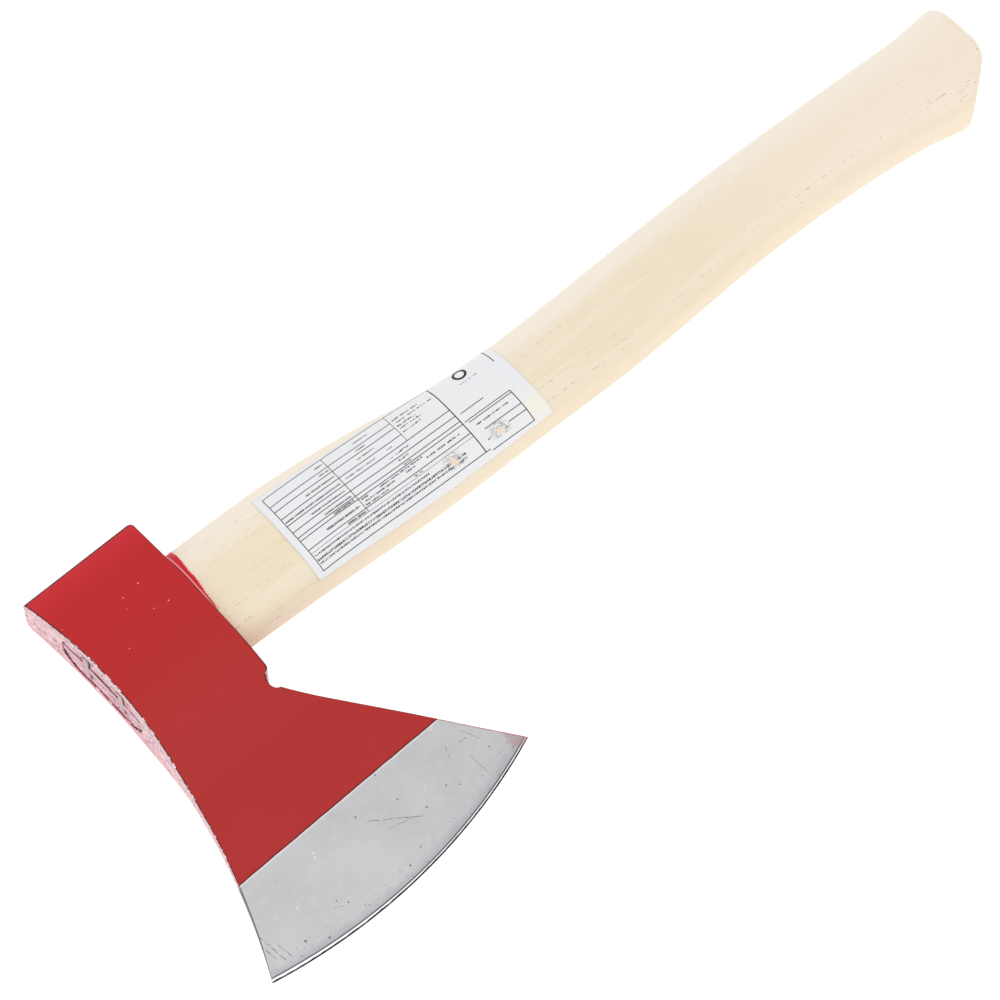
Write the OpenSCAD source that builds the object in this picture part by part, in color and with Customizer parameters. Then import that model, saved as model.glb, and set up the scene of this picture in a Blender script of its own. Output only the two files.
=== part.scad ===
// Hand axe: forged head wedged on a curved wooden handle.
// Lies on its cheek; +X from the head to the butt, -Y to the cutting edge, +Z up.
// The origin is the middle of the bounding box, at its bottom.

/* [Head] */
// Distance from the centre of the eye to the poll face
poll_y = 35.8; // [28:0.1:50]
// Distance from the centre of the eye to the lowest point of the cutting edge
edge_y = 116.8; // [95:0.1:140]
// Width of the head along the eye at its waist
waist_w = 41.2; // [34:0.1:52]
// Level of the waist, measured from the centre of the eye
waist_y = -4.5; // [-15:0.1:10]
// Thickness over the cheeks at the eye
head_t = 26.6; // [24:0.1:34]
// Thickness of the poll
poll_t = 18.6; // [16:0.1:26]
// Radius of the long edges of the poll
poll_round = 2.6; // [1:0.1:6]
// Thickness of the blade where it leaves the cheeks
blade_t = 10.4; // [8:0.1:14]
// Taper of each blade face, in degrees
blade_taper = 3.0; // [2.5:0.1:4.5]
// Length of the flat crest of each cheek
crest_len = 20.0; // [10:0.5:24]

/* [Cutting edge] */
// Radius of the cutting edge, seen from the side
edge_r = 199; // [150:1:320]
// How far the lowest point of the edge lies toward the toe from the handle-side face
edge_mid = 23.3; // [10:0.1:35]
// Reach of the toe from the handle-side face
toe_reach = 65.6; // [50:0.1:80]
// Reach of the heel past the handle-side face
heel_reach = 48.2; // [30:0.1:60]
// Width of the honed bevel
hone_w = 1.6; // [1:0.1:4]
// Thickness of the blade behind the honed bevel
hone_t = 1.3; // [0.8:0.1:2]
// Angle of each ground face behind the bevel, in degrees
grind_angle = 4.9; // [4.6:0.1:7]

/* [Lug and notch] */
// Level of the lug corner below the centre of the eye
lug_y = 31.8; // [26:0.1:36]
// Radius of the half-round notch under the lug
notch_r = 3.0; // [2:0.1:4]
// Radius of the poll corner and the lug corner on the handle side
corner_r = 2.2; // [1:0.1:3]

/* [Eye and wedges] */
// Depth of the eye from its poll end to its edge end
eye_len = 39.4; // [34:0.1:42]
// Width of the eye between the cheeks
eye_w = 19.4; // [16:0.1:20]
// Thickness of the wooden wedge at the outer end
wedge_t = 4.2; // [3:0.1:6]
// Depth the wooden wedge is driven in
wedge_depth = 28; // [24:0.5:32]
// Distance between the two steel wedges
steel_pitch = 17; // [12:0.5:22]
// Width of each steel wedge across the tenon
steel_w = 13; // [9:0.5:15]
// Thickness of each steel wedge at the outer end
steel_t = 2.4; // [1.6:0.1:3]
// Depth the steel wedges are driven in
steel_depth = 20; // [14:0.5:24]

/* [Handle] */
// Length of the handle outside the head
handle_len = 333; // [280:1:420]
// Thickness of the handle at the head
handle_t = 20.4; // [18:0.1:22]
// Thickness of the handle near the butt
butt_t = 22.6; // [19:0.1:26]
// Radius of the rim around the butt
butt_round = 4.0; // [1.5:0.1:6]
// Level where the slanted cut of the butt meets the end, from the centre of the eye
butt_cut_y = -20; // [-26:0.1:-10]

/* [Label] */
// Distance from the head to the near end of the label
label_x = 33.4; // [20:0.1:60]
// Length of the label
label_len = 96.6; // [60:0.1:130]
// Thickness of the label
label_t = 0.2; // [0.1:0.05:0.4]

/* [Hidden] */

fit_gap = 0.05;
grind_reach = 60;
arc_fn = 180;
half_t = head_t / 2;

// Cutting edge: centre of its circle, toe and heel on it
edge_c = [-edge_mid, edge_r - edge_y];
function on_edge(x) = [x, edge_c.y - sqrt(pow(edge_r, 2) - pow(x - edge_c.x, 2))];
toe = on_edge(-toe_reach);
heel = on_edge(heel_reach);

// Hollow toe-side line of the head: one circle through the waist and the toe
toe_dx = toe_reach - waist_w;
toe_dy = waist_y - toe.y;
hollow_r = (pow(toe_dx, 2) + pow(toe_dy, 2)) / (2 * toe_dx);
hollow_c = [-waist_w - hollow_r, waist_y];

// Notch under the lug, and the point where the beard starts
notch_c = [0, -lug_y - 2.6 - notch_r];
beard = [-0.8, notch_c.y - 0.9 * notch_r];

// Cheek: crest, round shoulder below it, hollow fillet, flat blade face
crest_poll = waist_y + 11.5;
crest_edge = crest_poll - crest_len;
shoulder_r = 60;
shoulder_c = [crest_edge, half_t - shoulder_r];
fillet_r = 45;
blade_start = -43;
blade_k = blade_t / 2 - blade_start * tan(blade_taper);
function blade_z(y) = blade_k + y * tan(blade_taper);
lift = blade_k + fillet_r / cos(blade_taper) - shoulder_c.y;
qa = 1 + pow(tan(blade_taper), 2);
qb = 2 * (lift * tan(blade_taper) - shoulder_c.x);
qc = pow(shoulder_c.x, 2) + pow(lift, 2) - pow(shoulder_r + fillet_r, 2);
fillet_y = (-qb - sqrt(qb * qb - 4 * qa * qc)) / (2 * qa);
fillet_c = [fillet_y, blade_z(fillet_y) + fillet_r / cos(blade_taper)];
fillet_end = fillet_y + fillet_r * sin(blade_taper);
join_t = shoulder_r / (shoulder_r + fillet_r);
join = shoulder_c + (fillet_c - shoulder_c) * join_t;

// Poll rounding and the line from it to the crest, tucked just inside the rounding
tuck = 0.98;
tuck_angle = 2;
round_c = [poll_y - poll_round, poll_t / 2 - poll_round];
to_crest = [crest_poll, half_t] - round_c;
crest_reach = norm(to_crest);
touch_angle = atan2(to_crest.y, to_crest.x) - acos(poll_round / crest_reach) - tuck_angle;
touch = round_c + tuck * poll_round * [cos(touch_angle), sin(touch_angle)];

// Box of the whole axe, used to bring its middle to the origin
x_mid = (handle_len - toe_reach) / 2;
y_mid = (poll_y - edge_y) / 2;

// Edge lines of the handle, as distance from the head against level
top_line = [[0, 21.3], [40, 20.1], [73, 16.2], [104, 10.6], [132, 8.6], [200, 8.9], [240, 8.8],
            [290, 6.6], [313, 5.6], [333, 6.4]];
low_line = [[0, -20], [40, -22.1], [80, -24.9], [130, -26], [165, -26.8], [225, -25.3],
            [260, -26.5], [290, -29.6], [313, -34], [333, -38]];
design_len = 333;

// Smooth curve through a few points, taken at x
function last_i(p) = len(p) - 1;
function span_of(p, x, i = 0) = (i >= last_i(p) - 1 || x < p[i + 1].x) ? i : span_of(p, x, i + 1);
function rise(p, i, j) = (p[j].y - p[i].y) / (p[j].x - p[i].x);
function slope_at(p, i) = rise(p, max(i - 1, 0), min(i + 1, last_i(p)));
function curve(p, x) =
    let (i = span_of(p, x))
    let (h = p[i + 1].x - p[i].x)
    let (t = (x - p[i].x) / h)
    p[i].y * (2 * pow(t, 3) - 3 * t * t + 1) + p[i + 1].y * (3 * t * t - 2 * pow(t, 3))
    + h * slope_at(p, i) * (pow(t, 3) - 2 * t * t + t)
    + h * slope_at(p, i + 1) * (pow(t, 3) - t * t);
function step(a, b, x) = let (t = min(max((x - a) / (b - a), 0), 1)) t * t * (3 - 2 * t);

// Slanted cut of the butt and the rounding of its rim
cut_slope = 0.8;
cut_soft = 2.2;
function soft_max(a, b) = (a + b + sqrt(pow(a - b, 2) + pow(cut_soft, 2))) / 2;
function cut_level(x) = butt_cut_y - (handle_len - x) * cut_slope;
function rim(x) =
    let (d = max(x - (handle_len - butt_round), 0))
    butt_round - sqrt(pow(butt_round, 2) - pow(min(d, butt_round), 2));
function base_x(x) = x * design_len / handle_len;
function top_at(x) = curve(top_line, base_x(x)) - rim(x);
function low_at(x) = soft_max(curve(low_line, base_x(x)), cut_level(x)) + rim(x);
function half_at(x) = handle_t / 2 + (butt_t - handle_t) / 2 * step(60, handle_len, x) - rim(x);

// Section of the handle: rounded upper side, fuller lower side, squarer at the cut
upper_power = 2.5;
lower_power = 3.1;
cut_power = 6;
function power_of(x, angle) =
    cos(angle) > 0 ? upper_power : lower_power + (cut_power - lower_power) * step(300, 326, x);
function signed_pow(v, e) = sign(v) * pow(abs(v), e);
function skin(x, angle, out = 0) =
    let (e = 2 / power_of(x, angle))
    let (mid = (top_at(x) + low_at(x)) / 2)
    let (depth = (top_at(x) - low_at(x)) / 2)
    [x, mid + (depth + out) * signed_pow(cos(angle), e), (half_at(x) + out) * signed_pow(sin(angle), e)];

round_step = 10;
ring_n = 360 / round_step;
even_n = 26;
even_end = 300;
fine_n = 9;
rim_n = 4;
stations = concat(
    [for (i = [0:even_n]) even_end * i / even_n],
    [for (i = [1:fine_n]) even_end + (handle_len - butt_round - even_end) * i / fine_n],
    [for (i = [1:rim_n]) handle_len - butt_round + butt_round * sin(80 * i / rim_n) / sin(80)]
);

module round_corner(at, r, turn) {
    translate(at)
        rotate(turn)
            difference() {
                translate([-r, -r])
                    square(2 * r);
                translate([-r, -r])
                    circle(r, $fn = arc_fn);
                translate([-3 * r, -3 * r])
                    square([2 * r, 4 * r]);
                translate([-3 * r, -3 * r])
                    square([4 * r, 2 * r]);
            }
}

// Side view of the head
module head_outline() {
    intersection() {
        translate(edge_c)
            circle(edge_r, $fn = arc_fn);
        difference() {
            polygon([
                [-toe_reach - 9, poll_y + 1], [0, poll_y + 1], [0, notch_c.y], beard,
                heel, [heel_reach, -edge_y - 9], [-toe_reach - 9, -edge_y - 9]
            ]);
            translate(hollow_c)
                circle(hollow_r, $fn = arc_fn);
            translate(notch_c)
                circle(notch_r, $fn = arc_fn);
            round_corner([0, poll_y], corner_r, 0);
            round_corner([0, notch_c.y + notch_r], corner_r, -90);
        }
    }
}

// Half of the head seen from its end, y along and z up, overlapping the other half a little.
// The round parts are a touch larger than tangent, so that neighbouring faces cross cleanly.
lap = 1;
cross = 0.02;
module half_cheek() {
    polygon([
        [round_c.x, -lap], round_c, touch, [crest_poll, half_t], [crest_edge, half_t],
        [crest_edge, -lap]
    ]);
    translate([round_c.x - lap, -lap])
        square([poll_round + lap, round_c.y + lap]);
    translate(round_c)
        circle(poll_round, $fn = arc_fn);
    intersection() {
        translate(shoulder_c)
            circle(shoulder_r + cross, $fn = arc_fn);
        translate([join.x - 3 * lap, -lap])
            square([crest_edge - join.x + 4 * lap, half_t + lap]);
    }
    difference() {
        translate([fillet_end, -lap])
            square([join.x - fillet_end, join.y + 2 * lap]);
        translate(fillet_c)
            circle(fillet_r + cross, $fn = arc_fn);
    }
    polygon([
        [fillet_end + 3 * lap, -lap], [fillet_end + 3 * lap, blade_z(fillet_end + 3 * lap)],
        [-edge_y - 1, blade_z(-edge_y - 1)], [-edge_y - 1, -lap]
    ]);
}

module cheek_body() {
    translate([-toe_reach - 1, 0, 0])
        rotate([90, 0, 90])
            linear_extrude(toe_reach + heel_reach + 2) {
                half_cheek();
                mirror([0, 1])
                    half_cheek();
            }
}

// Everything inside the ground faces and the honed bevel
module grind() {
    inner_r = edge_r - grind_reach;
    inner_z = hone_t / 2 + (grind_reach - hone_w) * tan(grind_angle);
    translate([edge_c.x, edge_c.y, 0])
        rotate_extrude($fn = arc_fn)
            polygon([
                [0, -head_t], [inner_r, -head_t], [inner_r, -inner_z],
                [edge_r - hone_w, -hone_t / 2], [edge_r, 0], [edge_r - hone_w, hone_t / 2],
                [inner_r, inner_z], [inner_r, head_t], [0, head_t]
            ]);
}

// Rounded slot along the eye, grown or shrunk all round
module eye_bar(grow, from, to) {
    r = eye_w / 2 + grow;
    c = (eye_len - eye_w) / 2;
    translate([from, 0, 0])
        rotate([90, 0, 90])
            linear_extrude(to - from) {
                translate([-c, -r])
                    square([2 * c, 2 * r]);
                for (s = [-1, 1])
                    translate([s * c, 0])
                        circle(r, $fn = arc_fn);
            }
}

// The round tool that leaves the top end of the head and the wedges flush
module flush_cut() {
    translate([hollow_c.x, hollow_c.y, -head_t])
        cylinder(h = 2 * head_t, r = hollow_r, $fn = 2 * arc_fn);
}

wedge_tip = 0.8;
steel_tip = 0.5;
outer_x = -waist_w - 6;

// Space of the wooden wedge, open across the whole tenon
module kerf(grow) {
    depth_x = -waist_w + wedge_depth + grow;
    end_t = wedge_t + (wedge_t - wedge_tip) * 6 / wedge_depth;
    translate([0, eye_len, 0])
        rotate([90, 0, 0])
            linear_extrude(2 * eye_len)
                polygon([
                    [outer_x, -end_t / 2 - grow], [depth_x, -wedge_tip / 2 - grow],
                    [depth_x, wedge_tip / 2 + grow], [outer_x, end_t / 2 + grow]
                ]);
}

// Space of one steel wedge
module steel_space(y, grow) {
    depth_x = -waist_w + steel_depth + grow;
    end_t = steel_t + (steel_t - steel_tip) * 6 / steel_depth;
    translate([0, y, -steel_w / 2 - grow])
        linear_extrude(steel_w + 2 * grow)
            polygon([
                [outer_x, -end_t / 2 - grow], [depth_x, -steel_tip / 2 - grow],
                [depth_x, steel_tip / 2 + grow], [outer_x, end_t / 2 + grow]
            ]);
}

module placed() {
    translate([-x_mid, -y_mid, half_t])
        children();
}

module axe_head() {
    color([0.7, 0.14, 0.13])
        placed()
            difference() {
                intersection() {
                    translate([0, 0, -head_t])
                        linear_extrude(2 * head_t)
                            head_outline();
                    cheek_body();
                    grind();
                }
                eye_bar(fit_gap, outer_x - 3, 1);
            }
}

module handle_shell() {
    n = len(stations);
    points = concat(
        [for (x = stations) for (j = [0:ring_n - 1]) skin(x, j * round_step + round_step / 2)],
        [[0, (top_at(0) + low_at(0)) / 2, 0]],
        [[handle_len, (top_at(handle_len) + low_at(handle_len)) / 2, 0]]
    );
    walls = [for (i = [0:n - 2]) for (j = [0:ring_n - 1]) for (k = [0:1])
        let (a = i * ring_n + j)
        let (b = i * ring_n + (j + 1) % ring_n)
        k == 0 ? [a, a + ring_n, b] : [b, a + ring_n, b + ring_n]];
    near_cap = [for (j = [0:ring_n - 1]) [j, (j + 1) % ring_n, n * ring_n]];
    far_cap = [for (j = [0:ring_n - 1])
        [(n - 1) * ring_n + (j + 1) % ring_n, (n - 1) * ring_n + j, n * ring_n + 1]];
    polyhedron(points, concat(walls, near_cap, far_cap));
}

module handle() {
    color([0.93, 0.86, 0.72])
        placed() {
            handle_shell();
            difference() {
                eye_bar(0, outer_x, 2);
                kerf(fit_gap);
                steel_space(steel_pitch / 2, fit_gap);
                steel_space(-steel_pitch / 2, fit_gap);
                flush_cut();
            }
        }
}

module wooden_wedge() {
    color([0.8, 0.65, 0.5])
        placed()
            difference() {
                intersection() {
                    eye_bar(0, outer_x, 0);
                    kerf(0);
                }
                steel_space(steel_pitch / 2, fit_gap);
                steel_space(-steel_pitch / 2, fit_gap);
                flush_cut();
            }
}

module steel_wedge(y) {
    color([0.6, 0.6, 0.62])
        placed()
            difference() {
                steel_space(y, 0);
                flush_cut();
            }
}

module steel_wedge_poll() {
    steel_wedge(steel_pitch / 2);
}

module steel_wedge_edge() {
    steel_wedge(-steel_pitch / 2);
}

// Label: a patch of the handle's skin, lifted by the glue and then by the paper
label_n = 24;
label_m = 16;
label_glue = 0.05;
label_low = 153;
label_top_near = 48;
label_top_far = 16;
function label_point(i, j, out) =
    let (u = i / label_n)
    let (x = label_x + label_len * u)
    let (top_angle = label_top_near + (label_top_far - label_top_near) * u)
    skin(x, top_angle + (label_low - top_angle) * j / label_m, out);
function label_i(i, j, k) = (k * (label_n + 1) + i) * (label_m + 1) + j;

module label() {
    points = [for (out = [label_glue, label_glue + label_t]) for (i = [0:label_n])
        for (j = [0:label_m]) label_point(i, j, out)];
    sheets = [for (i = [0:label_n - 1]) for (j = [0:label_m - 1]) for (k = [0:1]) for (h = [0:1])
        let (a = label_i(i, j, k))
        let (b = label_i(i + 1, j, k))
        let (c = label_i(i + 1, j + 1, k))
        let (d = label_i(i, j + 1, k))
        k == 1 ? (h == 0 ? [a, b, d] : [d, b, c]) : (h == 0 ? [a, d, b] : [d, c, b])];
    ends = [for (i = [0, label_n]) for (j = [0:label_m - 1]) for (h = [0:1])
        let (a = label_i(i, j, 0))
        let (b = label_i(i, j + 1, 0))
        let (c = label_i(i, j + 1, 1))
        let (d = label_i(i, j, 1))
        i == 0 ? (h == 0 ? [a, d, b] : [b, d, c]) : (h == 0 ? [a, b, d] : [b, c, d])];
    sides = [for (j = [0, label_m]) for (i = [0:label_n - 1]) for (h = [0:1])
        let (a = label_i(i, j, 0))
        let (b = label_i(i + 1, j, 0))
        let (c = label_i(i + 1, j, 1))
        let (d = label_i(i, j, 1))
        j == 0 ? (h == 0 ? [a, b, d] : [b, c, d]) : (h == 0 ? [a, d, b] : [b, d, c])];
    color([0.95, 0.95, 0.95])
        placed()
            polyhedron(points, concat(sheets, ends, sides));
}

axe_head();
handle();
wooden_wedge();
steel_wedge_poll();
steel_wedge_edge();
label();
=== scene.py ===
from functools import reduce

import bmesh
import bpy
import numpy as np
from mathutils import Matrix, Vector


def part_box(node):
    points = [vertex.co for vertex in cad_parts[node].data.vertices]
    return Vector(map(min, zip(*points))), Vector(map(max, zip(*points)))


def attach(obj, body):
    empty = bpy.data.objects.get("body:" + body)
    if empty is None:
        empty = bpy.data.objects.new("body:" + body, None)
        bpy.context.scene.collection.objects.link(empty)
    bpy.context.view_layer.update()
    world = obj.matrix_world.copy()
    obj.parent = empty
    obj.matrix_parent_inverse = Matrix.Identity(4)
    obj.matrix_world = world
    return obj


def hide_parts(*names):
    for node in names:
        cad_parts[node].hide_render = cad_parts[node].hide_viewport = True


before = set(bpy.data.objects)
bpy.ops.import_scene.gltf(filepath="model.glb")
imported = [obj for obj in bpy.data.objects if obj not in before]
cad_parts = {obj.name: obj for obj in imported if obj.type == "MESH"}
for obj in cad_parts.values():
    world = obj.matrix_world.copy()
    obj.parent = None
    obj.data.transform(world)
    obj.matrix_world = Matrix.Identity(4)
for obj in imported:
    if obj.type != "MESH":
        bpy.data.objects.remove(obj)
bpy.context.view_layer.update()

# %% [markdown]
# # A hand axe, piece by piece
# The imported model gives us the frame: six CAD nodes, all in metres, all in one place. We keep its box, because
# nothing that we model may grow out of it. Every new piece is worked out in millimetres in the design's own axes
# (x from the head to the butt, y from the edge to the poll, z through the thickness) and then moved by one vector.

head_high = np.array(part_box("axe_head")[1]) * 1000
handle_high = np.array(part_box("handle")[1]) * 1000

# %% [markdown]
# The sizes below are the axe's own: the head's outline, its cheeks and its ground edge, as a smith would note them.
# The design's origin is the centre of the eye at the handle-side face. We find it from the boxes of the CAD nodes:
# the poll face is `POLL` above it, and the butt lies `GRIP` away from it.

# %% Main sizes in millimetres
POLL, EDGE = 35.8, 116.8
WAIST_W, WAIST_Y = 41.2, -4.5
HALF_HEAD = 13.3
EDGE_R, EDGE_MID = 199.0, 23.3
TOE_REACH, HEEL_REACH = 65.6, 48.2
GRIP = 333.0
ORIGIN = np.array([handle_high[0] - GRIP, head_high[1] - POLL, HALF_HEAD])
print("eye centre in the frame (mm)", ORIGIN)


def to_frame(points):
    """Millimetres in the design's axes become metres in the shared frame: add the origin, divide by a thousand."""
    return (np.asarray(points, float) + ORIGIN) / 1000.0


# %% [markdown]
# ## From arrays to meshes
# A surface is an array of points with rows and columns. Neighbouring rows and columns make quads, which numpy can
# number in one go. A row that closes on itself is a loop, and a stack of loops with both ends capped is a solid.
# A cap is the last loop shrunk towards its middle in a few steps, ending in one point, so that even the flat ends
# have enough points to be dented or domed.

# %% Numbering quads and building meshes
def grid_faces(rows, cols, closed):
    """Quads between neighbouring rows and columns of a grid; with closed, the last column meets the first."""
    step = np.arange(cols if closed else cols - 1)
    i, j = np.meshgrid(np.arange(rows - 1), step, indexing="ij")
    k = (j + 1) % cols
    quads = np.stack([i * cols + j, i * cols + k, (i + 1) * cols + k, (i + 1) * cols + j], -1)
    return quads.reshape(-1, 4)


def put_in_scene(name, data):
    thing = bpy.data.objects.new(name, data)
    bpy.context.scene.collection.objects.link(thing)
    return thing


def build(name, points, faces, slot_name, nodes, sharp):
    """Points (mm) and faces become one smooth-shaded object in the frame; doubles merge, normals turn outwards."""
    mesh = bpy.data.meshes.new(name)
    mesh.from_pydata(to_frame(points).tolist(), [], faces)
    work = bmesh.new()
    work.from_mesh(mesh)
    bmesh.ops.remove_doubles(work, verts=work.verts, dist=2e-6)
    bmesh.ops.dissolve_degenerate(work, edges=work.edges, dist=1e-7)
    bmesh.ops.recalc_face_normals(work, faces=work.faces)
    loose = [v for v in work.verts if not v.link_faces]
    bmesh.ops.delete(work, geom=loose, context="VERTS")
    open_edges = sum(1 for e in work.edges if not e.is_manifold)
    work.to_mesh(mesh)
    work.free()
    mesh.polygons.foreach_set("use_smooth", np.ones(len(mesh.polygons), bool))
    mesh.set_sharp_from_angle(angle=np.radians(sharp))
    piece = put_in_scene(name, mesh)
    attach(piece, "root")
    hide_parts(*nodes)
    print(f"{name}: {len(mesh.polygons)} faces, {open_edges} open edges")
    return piece


def spread(x, y, z):
    """x, y and z of any matching shapes, repeated to one common shape and stacked as points."""
    return np.stack(np.broadcast_arrays(x, y, z), -1)


def solid_of(loops, rings, near=None, far=None):
    """A stack of loops with both ends capped: each cap is its end loop scaled towards its mean in equal steps."""
    loops = np.asarray(loops, float)
    share = np.linspace(0, 1, rings + 1)[1:, None, None]
    mid_a, mid_b = loops[0].mean(0), loops[-1].mean(0)
    cap_a = (loops[0] + (mid_a - loops[0]) * share)[::-1]
    cap_b = loops[-1] + (mid_b - loops[-1]) * share
    if near is not None:
        cap_a = near(cap_a)
    if far is not None:
        cap_b = far(cap_b)
    stack = np.concatenate([cap_a, loops, cap_b])
    rows, cols = stack.shape[:2]
    return stack.reshape(-1, 3), grid_faces(rows, cols, True).tolist()


# %% [markdown]
# A few curves come back again and again: a smooth step, a bunched spacing that puts more points near both ends (so
# that shading stays flat on the faces and turns only at the rounded corners), and slow waves that stand for what a
# hammer or a sanding belt leaves behind. The waves are sums of sines, so they are the same on every run.

# %% Shared curves
def smooth_step(a, b, x):
    """0 before a, 1 after b, and 3t^2 - 2t^3 between them."""
    t = np.clip((x - a) / (b - a), 0, 1)
    return t * t * (3 - 2 * t)


def bunched(count, share=0.7):
    """count + 1 numbers from 0 to 1: an even spacing mixed with a half cosine wave, which crowds the ends."""
    t = np.linspace(0, 1, count + 1)
    return (1 - share) * t + share * (0.5 - 0.5 * np.cos(np.pi * t))


def soft_min(a, b, k):
    """The smaller of a and b, with the crease between them rounded over about k."""
    return (a + b - np.sqrt((a - b) ** 2 + k * k)) / 2


def waves(a, b, lengths, seed):
    """Slow unevenness between -1 and 1: a few sine waves that run in different directions over a and b."""
    draw = np.random.default_rng(seed)
    total = 0
    for length in lengths:
        turn, phase = draw.uniform(0, np.pi), draw.uniform(0, 2 * np.pi)
        total = total + np.sin((a * np.cos(turn) + b * np.sin(turn)) * 2 * np.pi / length + phase)
    return total / len(lengths)


# %% [markdown]
# ## The head
# The real head is one forging: a thick eye, a flat poll, and a blade that thins out towards a ground edge. It could
# be an extruded outline with a bevel, but then the cheeks would be flat. We write it as loops instead. A loop is the
# outline of a cut straight across the head at one level: over the near cheek, round a corner, down the
# handle-side wall, back under the far cheek and up the toe-side wall. First come the lines that say how wide and how
# thick the head is at each level.

# %% Width of the head at each level
edge_centre = np.array([-EDGE_MID, EDGE_R - EDGE])
toe_y = edge_centre[1] - np.sqrt(EDGE_R**2 - (-TOE_REACH - edge_centre[0]) ** 2)
heel_y = edge_centre[1] - np.sqrt(EDGE_R**2 - (HEEL_REACH - edge_centre[0]) ** 2)
hollow_dx, hollow_dy = TOE_REACH - WAIST_W, WAIST_Y - toe_y
hollow_r = (hollow_dx**2 + hollow_dy**2) / (2 * hollow_dx)
LUG_DOWN, LUG_TO_NOTCH = 31.8, 2.6
NOTCH_R, CORNER_R = 3.0, 2.2
LUG_MEETS, BEARD_MEETS = 2.04, 0.236
notch_y = -LUG_DOWN - LUG_TO_NOTCH - NOTCH_R
beard = np.array([-0.8, notch_y - 0.9 * NOTCH_R])
NOTCH_TOP, NOTCH_LOW = notch_y + NOTCH_R + CORNER_R, beard[1] - BEARD_MEETS


def toe_side(y):
    """One circle that curves into the head, through the waist and the toe: x at level y."""
    return -WAIST_W - hollow_r + np.sqrt(hollow_r**2 - (y - WAIST_Y) ** 2)


def handle_side(y):
    """x at level y: straight with a rounded poll corner and a rounded lug, a half-round notch, then the beard."""
    poll_in = np.clip(y - (POLL - CORNER_R), 0, CORNER_R)
    lug_in = np.clip(NOTCH_TOP - y, 0, CORNER_R)
    straight = -2 * CORNER_R + np.sqrt(CORNER_R**2 - poll_in**2) + np.sqrt(CORNER_R**2 - lug_in**2)
    notch = -np.sqrt(np.clip(NOTCH_R**2 - (y - notch_y) ** 2, 0, None))
    line = beard[0] + (beard[1] - y) * (HEEL_REACH - beard[0]) / (beard[1] - heel_y)
    return np.where(y >= notch_y + LUG_MEETS, straight, np.where(y > NOTCH_LOW, notch, line))


print("toe and heel levels (mm)", toe_y, heel_y)

# %% Thickness of the head at each level
POLL_R, POLL_HALF = 2.6, 9.3
CREST_POLL, CREST_EDGE = 7.0, -13.0
SHOULDER_R, FILLET_R = 60.0, 45.0
TAPER = np.tan(np.radians(3.0))
HONE_W, HONE_HALF = 1.6, 0.65
GRIND, GRIND_REACH = np.tan(np.radians(4.9)), 55.0
BLADE_HALF, BLADE_START = 5.2, 43.0
blade_k = BLADE_HALF + BLADE_START * TAPER
shoulder_z = HALF_HEAD - SHOULDER_R
lift = blade_k + FILLET_R * np.hypot(1, TAPER) - shoulder_z
qa, qb = 1 + TAPER**2, 2 * (lift * TAPER - CREST_EDGE)
qc = CREST_EDGE**2 + lift**2 - (SHOULDER_R + FILLET_R) ** 2
fillet_y = (-qb - np.sqrt(qb * qb - 4 * qa * qc)) / (2 * qa)
fillet_z = blade_k + fillet_y * TAPER + FILLET_R * np.hypot(1, TAPER)
fillet_end = fillet_y + FILLET_R * TAPER / np.hypot(1, TAPER)
join_y = CREST_EDGE + (fillet_y - CREST_EDGE) * SHOULDER_R / (SHOULDER_R + FILLET_R)
SLOPE_FROM = np.array([33.59, 9.27])
print("shoulder meets fillet, fillet meets taper at levels (mm)", join_y, fillet_end)


def cheek(y):
    """Half thickness at level y: a slope from the poll, a flat crest, a round shoulder, a fillet, a flat taper."""
    slope = HALF_HEAD + (y - CREST_POLL) * (SLOPE_FROM[1] - HALF_HEAD) / (SLOPE_FROM[0] - CREST_POLL)
    shoulder = shoulder_z + np.sqrt(np.clip(SHOULDER_R**2 - (y - CREST_EDGE) ** 2, 0, None))
    fillet = fillet_z - np.sqrt(np.clip(FILLET_R**2 - (y - fillet_y) ** 2, 0, None))
    flat = blade_k + y * TAPER
    body = np.where(y > CREST_EDGE, HALF_HEAD, np.where(y > join_y, shoulder, np.where(y > fillet_end, fillet, flat)))
    return soft_min(body, slope, 0.25)


def ground(x, y):
    """Half thickness left by grinding: it grows inward from the edge, first in the hone, and the wheel soon lifts."""
    inside = EDGE_R - np.hypot(x - edge_centre[0], y - edge_centre[1])
    hone = np.clip(inside / HONE_W, 0, 1) * HONE_HALF
    lifted = np.clip(inside - GRIND_REACH, 0, None) * 0.5
    return np.where(inside < HONE_W, hone, HONE_HALF + (inside - HONE_W) * GRIND + lifted)


# %% [markdown]
# The levels of the loops are not even. They crowd where the outline or the profile turns (poll rounding, lug,
# notch, hone), and towards the blade they bend, from straight lines under the notch to arcs along the cutting
# edge, so that the honed bevel follows the edge exactly.

# %% Levels of the loops
turn = np.radians(np.linspace(90, 8.62, 9))
poll_rows = np.stack([POLL - POLL_R + POLL_R * np.sin(turn), POLL_HALF - POLL_R + POLL_R * np.cos(turn)], 1)
plain_y = np.concatenate([
    SLOPE_FROM[0] - (SLOPE_FROM[0] - CREST_POLL) * np.linspace(0, 1, 22)[1:],
    np.linspace(CREST_POLL, NOTCH_TOP, 34)[1:],
    np.linspace(NOTCH_TOP, NOTCH_TOP - 2.18, 8)[1:],
    [notch_y + LUG_MEETS + 1e-4, notch_y + LUG_MEETS - 1e-4],
    notch_y + (NOTCH_R - 0.001) * np.cos(np.linspace(0.83, 2.93, 16)),
    [NOTCH_LOW - 0.001, NOTCH_LOW - 0.6, NOTCH_LOW - 1.4],
])
WINDOW_HALF = 22.0
EYE_TOP, EYE_LOW = (int(np.argmin(np.abs(plain_y - y))) + len(poll_rows) for y in (WINDOW_HALF, -WINDOW_HALF))
ARC_FROM = 4.0
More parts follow.
